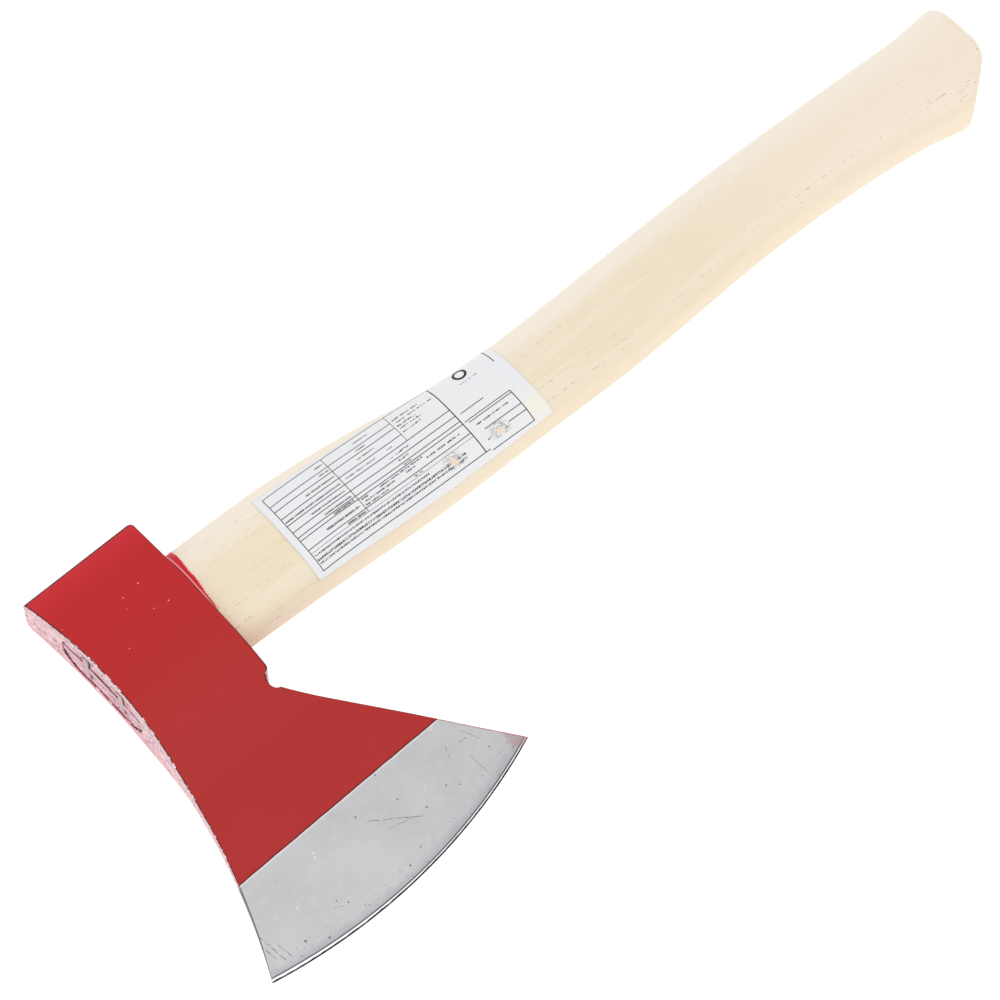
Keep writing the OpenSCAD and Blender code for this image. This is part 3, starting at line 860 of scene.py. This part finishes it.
# %% Finish of the head
def head_finish():
    b = Bench("red_paint_and_ground_steel")
    x, y, height = b.x, b.y, b.z
    nx, _, nz = b.split(b.add("NewGeometry", {}, {}, "Normal"))
    side = b.smooth(0.75, 0.35, abs(nz))
    end_wall = b.smooth(-0.35, -0.75, nx)
    flat = b.vector("MULTIPLY", b.from_eye, (1, 1, 0))
    inside = EDGE_R - b.distance(flat, (*edge_centre.tolist(), 0))

    # Where the grinding ends
    wobble = b.noise(scale=0.12, detail=1) * 0.5 - 0.25 + b.noise(scale=1.6) * 0.12
    line = (x + 12.3) * PAINT_TILT + PAINT_END + wobble
    bare = b.smooth(-0.12, 0.12, line - y)

    # Paint: satin red, brighter and redder towards the poll as painted reflection of the lamp, pinker at the poll end,
    # with a few chips
    mottle = b.noise(scale=0.05, detail=3)
    red = b.coats(
        b.mix(mottle, srgb(165, 36, 34), srgb(170, 40, 38)),
        (b.smooth(-50, 25, y) * 0.85, (183, 28, 32)),
        (b.smooth(25, 38, y + mottle * 4) * 0.5, (206, 42, 54)),
        (spots_at(b, CHIPS) * (nz > 0.7), (236, 160, 160)))

    # Scuffed thin paint on the walls, with dark hairs where it ran and dried
    streak = b.noise((1, 0.22, 1.5), 1.0, 4, 0.65)
    speck = b.noise(scale=1.3, detail=3)
    flow = b.noise((0.7, 0.07, 0.35), 1.0, 2, 0.5)
    hairs = b.near(flow, 0.5, 0.022, 0.010).most(b.near(flow, 0.60, 0.016, 0.006))
    hairs = hairs.most(b.near(flow, 0.41, 0.016, 0.006))
    thin = b.coats(
        b.mix(b.smooth(0.42, 0.60, streak), srgb(236, 208, 213), srgb(222, 170, 178)),
        (b.smooth(0.60, 0.70, speck) * 0.4, (116, 34, 46)),
        (b.smooth(0.61, 0.70, streak) * 0.6, (128, 104, 110)),
        (b.smooth(0.40, 0.32, speck) * 0.35, (246, 240, 242)),
        (hairs * b.smooth(0.36, 0.50, speck) * 0.85, (90, 38, 50)),
        (b.smooth(1, 12, height) * 0.45, (206, 190, 186)),
        (b.smooth(-1, -12, height) * 0.35, (218, 150, 164)))
    notch_wall = b.smooth(-42, -40, y) * b.smooth(-31, -33, y)
    far_rim = (nz < 0) * b.smooth(-0.20, -0.35, nx)
    scuffed = (side * end_wall.most(notch_wall)).most(far_rim)
    half_scuffed = side * (1 - end_wall) * b.smooth(0.5, 0.68, streak) * 0.5

    # The mouth of the eye, painted lighter as painted light over the shade in the bore
    lit_mouth = (abs(y) < EYE_C + EYE_R + 0.4) * (abs(height) < EYE_R + 0.4) * (x < -20) * (nz * height < 0)
    lit_mouth = lit_mouth * (abs(nx) < 0.3)
    # Near-black lines of painted shade along the corner roundings between cheeks and walls
    corner_shade = b.smooth(0.905, 0.86, abs(nz)) * b.smooth(0.10, 0.35, abs(nz))
    corner_shade_line = corner_shade * (1 - far_rim) * (b.smooth(0.38, 0.52, speck) * 0.5 + 0.5)
    # Near-white patches on the end's upper rim, broken up by noise: a painted highlight
    lit_rim = b.smooth(0.12, 0.35, nz) * b.smooth(0.84, 0.70, nz) * (nx < -0.2)
    rim_highlight_patches = b.smooth(0.54, 0.60, b.noise((1, 0.6, 1), 0.7, 3)) * b.smooth(20, 5, y)
    paint = b.coats(
        b.mix(scuffed, b.coats(red, (half_scuffed, (214, 120, 122))), thin),
        (lit_mouth * 0.8, (186, 112, 124)),
        (corner_shade_line * 0.9, (56, 8, 12)),
        (lit_rim * rim_highlight_patches * 0.85, (250, 243, 242)))

    # Ground steel: almost even grey, scratches that crossed it later, small pits and glints
    lines = b.noise((0.35, 3.2, 1), 1.0, 4, 0.7)
    cloud = b.noise(scale=0.05, detail=3)
    score = scratches_at(b, SCRATCHES)
    rough_edge = b.smooth(0.66, 0.72, b.noise(scale=1.3, detail=2)) * b.smooth(9, 3, inside)
    pits = spots_at(b, PITS).most(rough_edge)
    glints = spots_at(b, GLINTS).most(b.smooth(0.735, 0.77, b.noise(scale=1.2, detail=2)) * 0.6)

    # Edge: a soft dull band, a thin line of painted shade, the hone painted near white as painted reflection, and
    # the dark line of the very edge. The walls and corner roundings of the bare part are painted darker as painted
    # shade, and a trace of paint is left along the heel.
    dull = b.smooth(4.5, 1.4, inside + b.noise((0.25, 0.25, 1), 1.0, 3) * 3.0 - 1.5)
    past_hone = inside - (b.smooth(10, -60, x) * 0.36 + 0.88)
    from_heel = (HEEL_REACH - x) * 0.7912 + (float(heel_y) - y) * 0.6115
    steel = b.coats(
        b.mix(b.smooth(0.3, 0.7, cloud), srgb(184, 184, 186), srgb(193, 193, 195)),
        (b.smooth(0.40, 0.70, b.noise(scale=0.35, detail=4)) * 0.35, (196, 196, 200)),
        (b.smooth(0.45, 0.65, lines) * 0.12, (216, 216, 218)),
        (score * 0.9, (104, 102, 108)),
        (pits * 0.8, (66, 58, 64)),
        (glints * 0.6, (246, 246, 248)),
        (dull * 0.38, (150, 142, 150)),
        # Painted reflection: the honed facet in near white
        (b.smooth(0.05, -0.05, past_hone), (242, 240, 244)),
        # Painted shade: a thin dark line at the crease behind the hone
        (b.near(past_hone, 0.14, 0.34, 0.08) * 0.9, (72, 66, 74)),
        (b.smooth(0.62, 0.42, inside + b.noise(scale=0.3, detail=2) * 0.5 - 0.25), (44, 38, 44)),
        # Painted shade: darker grey on the corner roundings and the walls of the bare steel
        (corner_shade.most(side) * 0.85, (84, 79, 86)),
        (b.smooth(0.9, 0.3, from_heel + b.noise(scale=0.5, detail=2) * 1.2 - 0.5) * 0.75, (196, 98, 104)),
        (b.smooth(0.10, 0.75, spots_at(b, RUSTY_HEEL) - b.noise(scale=0.7, detail=4) * 1.5 + 0.55) * 0.5,
         (170, 132, 136)))

    # At the grinding line: a dark line of painted shade on the paint side and a pale line of painted highlight on the
    # steel side
    beyond = line - y
    colour = b.coats(
        b.mix(bare, paint, steel),
        (b.near(beyond, -0.20, 0.34, 0.10) * 0.9, (84, 10, 14)),
        (b.near(beyond, 0.34, 0.26, 0.08) * 0.5, (244, 236, 236)))
    paint_rough = b.noise(scale=0.35, detail=4) * 0.10 + 0.40 + scuffed * 0.2
    steel_rough = lines * 0.12 + 0.44
    orange_peel = b.noise(scale=0.9, detail=2) * 0.5 + b.noise(scale=0.12, detail=2)
    cut_marks = lines * 0.25 - score * 0.8 - pits
    relief = orange_peel * (1 - bare) * 0.5 + cut_marks * bare * 0.5 - bare * 0.9 + streak * scuffed
    return b.close({
        "Base Color": colour, "Roughness": paint_rough * (1 - bare) + steel_rough * bare, "Metallic": bare * 0.7,
        "Normal": b.bump(relief, 0.3, 0.06), "Specular IOR Level": 0.22,
    })


dress(head, head_finish())

# %% [markdown]
# ### Bare wood
# The handle is pale, close-grained wood without varnish. Its grain runs along x, so every pattern is a noise that is
# stretched along x: broad bands of slightly different cream, fine lines, and short dark dashes where a pore was cut
# open lengthwise. At the head the wood took some of the red paint, thick near the back and only specks lower down.

# %% Finish of the handle
def joint_seam(b):
    """1 along both faces of the wooden wedge, ragged: the dark line between it and the tenon."""
    return b.smooth(0.75, 0.25, abs(abs(b.z) - WOOD_WEDGE_T / 2) + b.noise((1, 0.3, 1), 1.0, 2) * 1.4 - 0.7)


def gap_shade(b, centre):
    """1 round a steel wedge, where the end grain tore open; the dark colour there is painted shade in the gap."""
    beside = (abs(b.y - centre) - STEEL_T / 2).most(abs(b.z) - STEEL_W / 2)
    return b.smooth(0.85, 0.25, beside + b.noise(scale=0.5, detail=2) * 1.2 - 0.6)


def wood_finish():
    b = Bench("pale_sanded_wood")
    x, y, z = b.x, b.y, b.z
    ny = b.split(b.add("NewGeometry", {}, {}, "Normal"))[1]
    bend = b.noise((0.010, 0.03, 0.03), 1.0, 2) * 6
    place = b.add("CombineXYZ", {}, [x, y + bend + x * 0.03, z])
    bands = b.noise((0.006, 0.11, 0.11), 1.0, 3, 0.55, at=place)
    fine = b.noise((0.03, 1.5, 1.5), 1.0, 4, 0.65, at=place)

    # Broken lines of open pores, most of them low on the belly and near the head
    pore = b.noise((0.012, 1.5, 1.5), 1.0, 2, 0.5, at=place)
    broken = b.smooth(0.50, 0.58, b.noise((0.42, 0.9, 0.9), 1.0, 2, at=place))
    low_band = b.smooth(-0.02, -0.18, ny) * b.smooth(-0.62, -0.42, ny)
    patches = b.smooth(0.50, 0.60, b.noise((0.015, 0.10, 0.10), 1.0, 2, at=place))
    where = patches * 0.22 + low_band * 0.62 + b.smooth(60, 15, x) * 0.15
    dash = b.smooth(0.61, 0.65, pore) * broken * where.least(1)
    wood = b.coats(
        b.mix(b.smooth(0.38, 0.62, bands), srgb(229, 215, 189), srgb(231, 219, 197)),
        (b.smooth(0.45, 0.75, fine) * 0.28, (229, 211, 178)),
        (b.near(bands, 0.49, 0.035, 0.0) * 0.22, (222, 200, 158)),
        (b.smooth(180, 290, x) * 0.7, (236, 222, 205)),
        # Painted light and shade: lighter on the back, where the surface faces +y, darker and yellower on the belly
        (b.smooth(0.04, 0.42, ny + fine * 0.12) * 0.85, (235, 226, 213)),
        (b.smooth(-0.25, -0.80, ny + fine * 0.12) * 0.6, (226, 209, 184)),
        (dash * 0.8, (172, 140, 84)),
        (b.smooth(0.745, 0.775, b.noise(scale=0.7, detail=3)) * 0.6, (120, 84, 56)))

    # End grain of the tenon and of the butt
    rings = b.noise((0.2, 0.5, 1.1), 1.0, 4, 0.6)
    flow = b.noise((1, 0.14, 0.45), 1.0, 2, 0.5)
    hairs = b.near(flow, 0.5, 0.028, 0.012).most(b.near(flow, 0.60, 0.020, 0.008))
    cut_end = b.coats(
        b.mix(b.smooth(0.35, 0.65, rings), srgb(232, 208, 214), srgb(212, 160, 172)),
        (b.smooth(0.60, 0.68, b.noise(scale=1.5, detail=3)), (100, 38, 48)),
        (hairs * 0.85, (84, 30, 42)),
        (joint_seam(b) * 0.85, (72, 26, 36)),
        # Painted shade: dark round the steel wedges, in the gaps
        (gap_shade(b, STEEL_PITCH / 2) * 0.85, (62, 24, 30)),
        (gap_shade(b, -STEEL_PITCH / 2) * 0.85, (62, 24, 30)))
    wood = b.mix(b.smooth(-30, -38, x), wood, cut_end)
    pores = b.smooth(0.6, 0.7, b.noise(scale=2.2, detail=2))
    wood = b.coats(wood, (b.smooth(GRIP - 1.4, GRIP - 0.3, x) * (0.25 + pores * 0.4), (214, 188, 146)))

    # Red paint that ran onto the wood, with a pale line of painted highlight along its bead next to the head
    ragged = b.noise((1.6, 0.9, 0.9), 1.0, 4, 0.7) * 1.3 + b.noise(scale=0.09, detail=1) * 1.6
    reach = b.smooth(-22, 20, y) * 4.0
    soaked = b.smooth(-0.30, 0.30, reach + ragged - 1.75 - x) * (x > -1) * b.smooth(-12, -7, y)
    specks = b.smooth(0.60, 0.66, b.noise(scale=2.6, detail=2)) * b.smooth(4.2, 1.0, x)
    smear = soaked.most(specks * b.smooth(-17, -12, y) * 0.8)
    bead_highlight = b.near(x - reach * 0.28, 0.25, 0.34, 0.10) * b.smooth(-10, -2, y)
    wood = b.mix(smear, wood, b.mix(bead_highlight * 0.85, srgb(203, 14, 38), srgb(240, 170, 178)))

    relief = fine * 0.6 - dash * 1.2 + b.noise(scale=0.8, detail=3) * 0.3
    return b.close({
        "Base Color": wood, "Roughness": fine * 0.15 + 0.52 - smear * 0.15, "Normal": b.bump(relief, 0.3, 0.08),
        "Specular IOR Level": 0.3,
    })


wood_material = wood_finish()
for piece in (grip, tenon):
    dress(piece, wood_material)


# %% [markdown]
# The wedges show only their struck ends. The wooden one has the tenon's paint-stained end grain and shares its seam;
# the steel ones are hammered and still carry some of the paint.

# %% Finishes of the wedges
def wedge_wood_finish():
    b = Bench("wedge_wood_end_grain")
    bands = b.noise((0.3, 0.3, 2.6), 1.0, 4, 0.6)
    spots = b.smooth(0.6, 0.7, b.noise(scale=1.7, detail=3))
    colour = b.coats(b.mix(b.smooth(0.35, 0.65, bands), srgb(222, 190, 200), srgb(200, 142, 156)),
                     (joint_seam(b).most(spots) * 0.85, (84, 30, 42)))
    return b.close({
        "Base Color": colour, "Roughness": bands * 0.2 + 0.6, "Normal": b.bump(bands - spots * 0.6, 0.5, 0.12),
    })


def wedge_steel_finish():
    b = Bench("hammered_wedge_steel")
    blows = b.noise(scale=0.9, detail=3)
    paint = b.smooth(0.46, 0.6, b.noise(scale=0.7, detail=3))
    colour = b.coats(b.mix(blows, srgb(120, 116, 118), srgb(196, 192, 194)), (paint * 0.7, (212, 140, 146)))
    return b.close({
        "Base Color": colour, "Roughness": blows * 0.25 + 0.32, "Metallic": 0.85 - paint * 0.6,
        "Normal": b.bump(blows, 0.4, 0.15),
    })


dress(wood_wedge, wedge_wood_finish())
steel_material = wedge_steel_finish()
for piece in (steel_a, steel_b):
    dress(piece, steel_material)

# %% [markdown]
# ### Print on the label
# The label is a form: a frame with thin rules and small print. A real one carries names and codes; ours has only
# rules and rows of broken strokes, which read as print from afar and say nothing. Rather than a node for each line,
# one ramp with hard steps holds a whole column of it: it is read at the height v, its red value says where the line
# of print starts, and its green value where it ends. Between two lines both are 0, so nothing is printed there.
# White noise on cells as wide as a word, a letter and a stroke then breaks the rows up.

# %% Where the print is, in millimetres on the sheet: rows are (height, start, end)
REACH, SHEET_UP = 130.0, 40.0
ROW, WORD, LETTER, STROKE_UP = 1.3, 4.2, 0.86, 0.30
RULES = [(up, 36.5, 103.6) for up in (34.1, 21.0, 18.1, 15.5, 14.2, 10.1, 8.6)]
RULES += [(up, 36.5, 85.9) for up in (30.1, 27.6, 24.2)] + [(1.9, 36.5, 105.5)]
FAR_RULES = [(17.6, 105.5, 115), (14.3, 104.5, 123.4), (13.3, 105.5, 123.4), (8.3, 108, 123.4), (5.7, 116, 123.4),
             (1.2, 106, 123.6)]
UPRIGHTS = [(36.5, 1.9, 34.2, 0.15), (60.3, 8.7, 34.1, 0.13), (85.9, 21.0, 34.1, 0.10), (103.6, 1.9, 34.1, 0.20),
            (123.4, 1.2, 14.4, 0.17), (126.6, 26.5, 36.5, 0.17)]
BOLD = [(32.1, 56.4, 59.6), (28.8, 55.8, 59.6), (25.7, 48, 59.5), (22.3, 37, 59.5), (19.3, 45, 58.8), (16.5, 48, 59.2),
        (14.85, 51, 59), (11.9, 45.8, 59), (9.2, 52.5, 59.6)]
MIDDLE = [(31.9, 67, 77.6), (28.8, 70.5, 74.8), (25.8, 69, 76), (22.5, 61.5, 80.7), (19.4, 77, 85.7), (17.0, 79, 83.2),
          (14.85, 79.2, 83), (13.4, 61, 86), (12.1, 61, 100.6), (10.8, 61, 70.2), (9.3, 79.6, 83)]
THIRD = [(30.6, 86.8, 97.4), (28.9, 86.8, 102), (27.4, 86.8, 94.9), (26.0, 86.8, 95.8), (24.5, 86.8, 94.4),
         (11.2, 107, 120), (4.9, 106.5, 109), (26.4, 112.3, 119.6)]
FOOT = [(7.3, 37, 84), (5.6, 37, 98), (4.3, 37, 97.5)]
print(len(RULES + FAR_RULES), "rules,", len(BOLD + MIDDLE + THIRD + FOOT), "rows of print")


def print_rows(b, u, v, rows, half):
    """1 inside any of the rows: the ramp gives each row's start and end, two comparisons the rest."""
    stops = [(0.0, (0, 0, 0))]
    for height, start, end in sorted(rows):
        stops.append(((height - half) / SHEET_UP, (start / REACH, end / REACH, 0)))
        stops.append(((height + half) / SHEET_UP, (0, 0, 0)))
    ramp = b.add("ValToRGB", {"stops": stops, "blend": "CONSTANT"}, [v / SHEET_UP])
    start, end = (part * REACH for part in b.split(ramp)[:2])
    return (u > start) * (u < end)


# %% Finish of the label
def label_finish():
    b = Bench("printed_label_paper")
    flat = b.vector("SCALE", b.add("UVMap", {"uv_map": "print"}, {}), 100)
    u, v, _ = b.split(flat)
    rules = print_rows(b, u, v, RULES, 0.14).most(print_rows(b, u, v, FAR_RULES, 0.14))
    uprights = any_of((abs(u - at) < half) * (v > low) * (v < high) for at, low, high, half in UPRIGHTS)
    foot = print_rows(b, u, v, FOOT, 0.34)

    # Print: rows fall apart into words, the words into letters, the letters into strokes
    row = (v / ROW).whole()
    word_at = u / WORD + row * 0.37
    word_no = word_at.whole()
    in_word = word_at - word_no
    word = (b.white(word_no, row) > 0.12) * (in_word < 0.87)
    gap = (u / LETTER - (u / LETTER).whole()) < 0.80
    stroke = b.smooth(0.18, 0.50, b.white((u / (LETTER / 2)).whole(), (v / STROKE_UP).whole()))
    columns = print_rows(b, u, v, MIDDLE, 0.30).most(print_rows(b, u, v, THIRD, 0.29))
    small = columns.most(foot) * word.most(foot) * gap * (stroke * 0.75 + 0.25)
    large = print_rows(b, u, v, BOLD, 0.34) * (in_word < 0.9) * gap * (stroke * 0.35 + 0.65)

    # A plain ring stands where a mark was; two rubbed spots and a yellowed far corner show the wear
    ring = b.near(b.distance(flat, (115.1, 30.7, 0)), 2.15, 0.55, 0.40)
    rub = b.noise(scale=0.9, detail=3, at=flat)
    spots = [b.distance(flat, place) for place in ((93.0, 5.4, 0), (112.0, 4.9, 0))]
    tan = b.smooth(2.2, 0.8, spots[0] + rub * 2.2 - 1.0).most(b.smooth(2.0, 0.8, spots[1] + rub * 2.2 - 1.0))
    scribble = b.near(rub, 0.47, 0.06, 0.02) * b.smooth(4.6, 2.6, spots[0].least(spots[1])) * (v > 3.4)
    ink = any_of([rules * 0.95, uprights, small, large, ring, scribble * 0.6]) * (1 - tan)
    fibre = b.noise(scale=0.6, detail=4, at=flat)
    worn = b.smooth(8, 3, b.distance(flat, (127, 5, 0)) + rub * 3)
    colour = b.coats(
        b.mix(fibre, srgb(222, 223, 226), srgb(229, 229, 231)),
        (worn * 0.6, (238, 230, 206)), (tan * 0.9, (230, 208, 180)), (ink, (22, 22, 28)))
    return b.close({
        "Base Color": colour, "Roughness": fibre * 0.15 + 0.42, "Normal": b.bump(fibre + rub * 0.5, 0.15, 0.05),
        "Specular IOR Level": 0.35,
    })


dress(label, label_finish())

# %% [markdown]
# ## Floor, light and camera
# The axe lies on its cheek on a plain white table, in a tent of soft light: the world is white all round, one large
# soft lamp above and a little to the front left gives the cheeks a direction, and the table glows a little, as a
# light table does, so that the shadows under the axe stay faint. The camera looks down from the same side with a
# long lens, so the axe keeps its proportions.

# %% Floor
FLOOR = 4.0


def floor_finish():
    b = Bench("white_table")
    colour = b.mix(b.noise(scale=0.01, detail=2), (0.70, 0.70, 0.70), (0.72, 0.72, 0.72))
    return b.close({"Base Color": colour, "Roughness": 0.9, "Specular IOR Level": 0.0,
                    "Emission Color": (1, 1, 1, 1), "Emission Strength": 0.62})


def aim_at(thing, place, target):
    """Puts a lamp or a camera in its place and turns its -z axis towards the target."""
    thing.location = place
    thing.rotation_euler = (Vector(target) - Vector(place)).to_track_quat("-Z", "Y").to_euler()


floor_mesh = bpy.data.meshes.new("white_table_top")
corners = [(-FLOOR, -FLOOR, 0), (FLOOR, -FLOOR, 0), (FLOOR, FLOOR, 0), (-FLOOR, FLOOR, 0)]
floor_mesh.from_pydata(corners, [], [(0, 1, 2, 3)])
floor = put_in_scene("white_table_top", floor_mesh)
dress(floor, floor_finish())

# %% Light
TENT = {"Color": (1, 1, 1, 1), "Strength": 0.95}
LAMP_AT, LAMP_AIM, LAMP_WIDTH, LAMP_WATTS = (-0.45, -0.3, 1.6), (-0.05, 0, 0), 1.2, 5
world = bpy.data.worlds.new("white_tent")
bpy.context.scene.world = world
world.use_nodes = True
for socket_name, value in TENT.items():
    world.node_tree.nodes["Background"].inputs[socket_name].default_value = value
lamp_data = bpy.data.lights.new("soft_lamp_overhead", "AREA")
lamp_data.shape, lamp_data.size, lamp_data.energy = "DISK", LAMP_WIDTH, LAMP_WATTS
aim_at(put_in_scene("soft_lamp_overhead", lamp_data), LAMP_AT, LAMP_AIM)
bpy.context.scene.view_settings.view_transform = "Standard"
print("lamp at", LAMP_AT, "watts", LAMP_WATTS)

# %% Camera
AIM = Vector((ORIGIN + np.array([97.2, -35.0, 0])) / 1000)
FROM_AIM = Vector((-0.3879, -0.4353, 1.1954))
LENS_MM, SENSOR_MM, FARTHEST = 146.73, 36, 20
camera_data = bpy.data.cameras.new("camera")
camera_data.lens, camera_data.sensor_width, camera_data.clip_end = LENS_MM, SENSOR_MM, FARTHEST
camera = put_in_scene("camera", camera_data)
aim_at(camera, AIM + FROM_AIM, AIM)
bpy.context.scene.camera = camera
print("camera", FROM_AIM.length, "m from its aim, lens (mm)", LENS_MM)
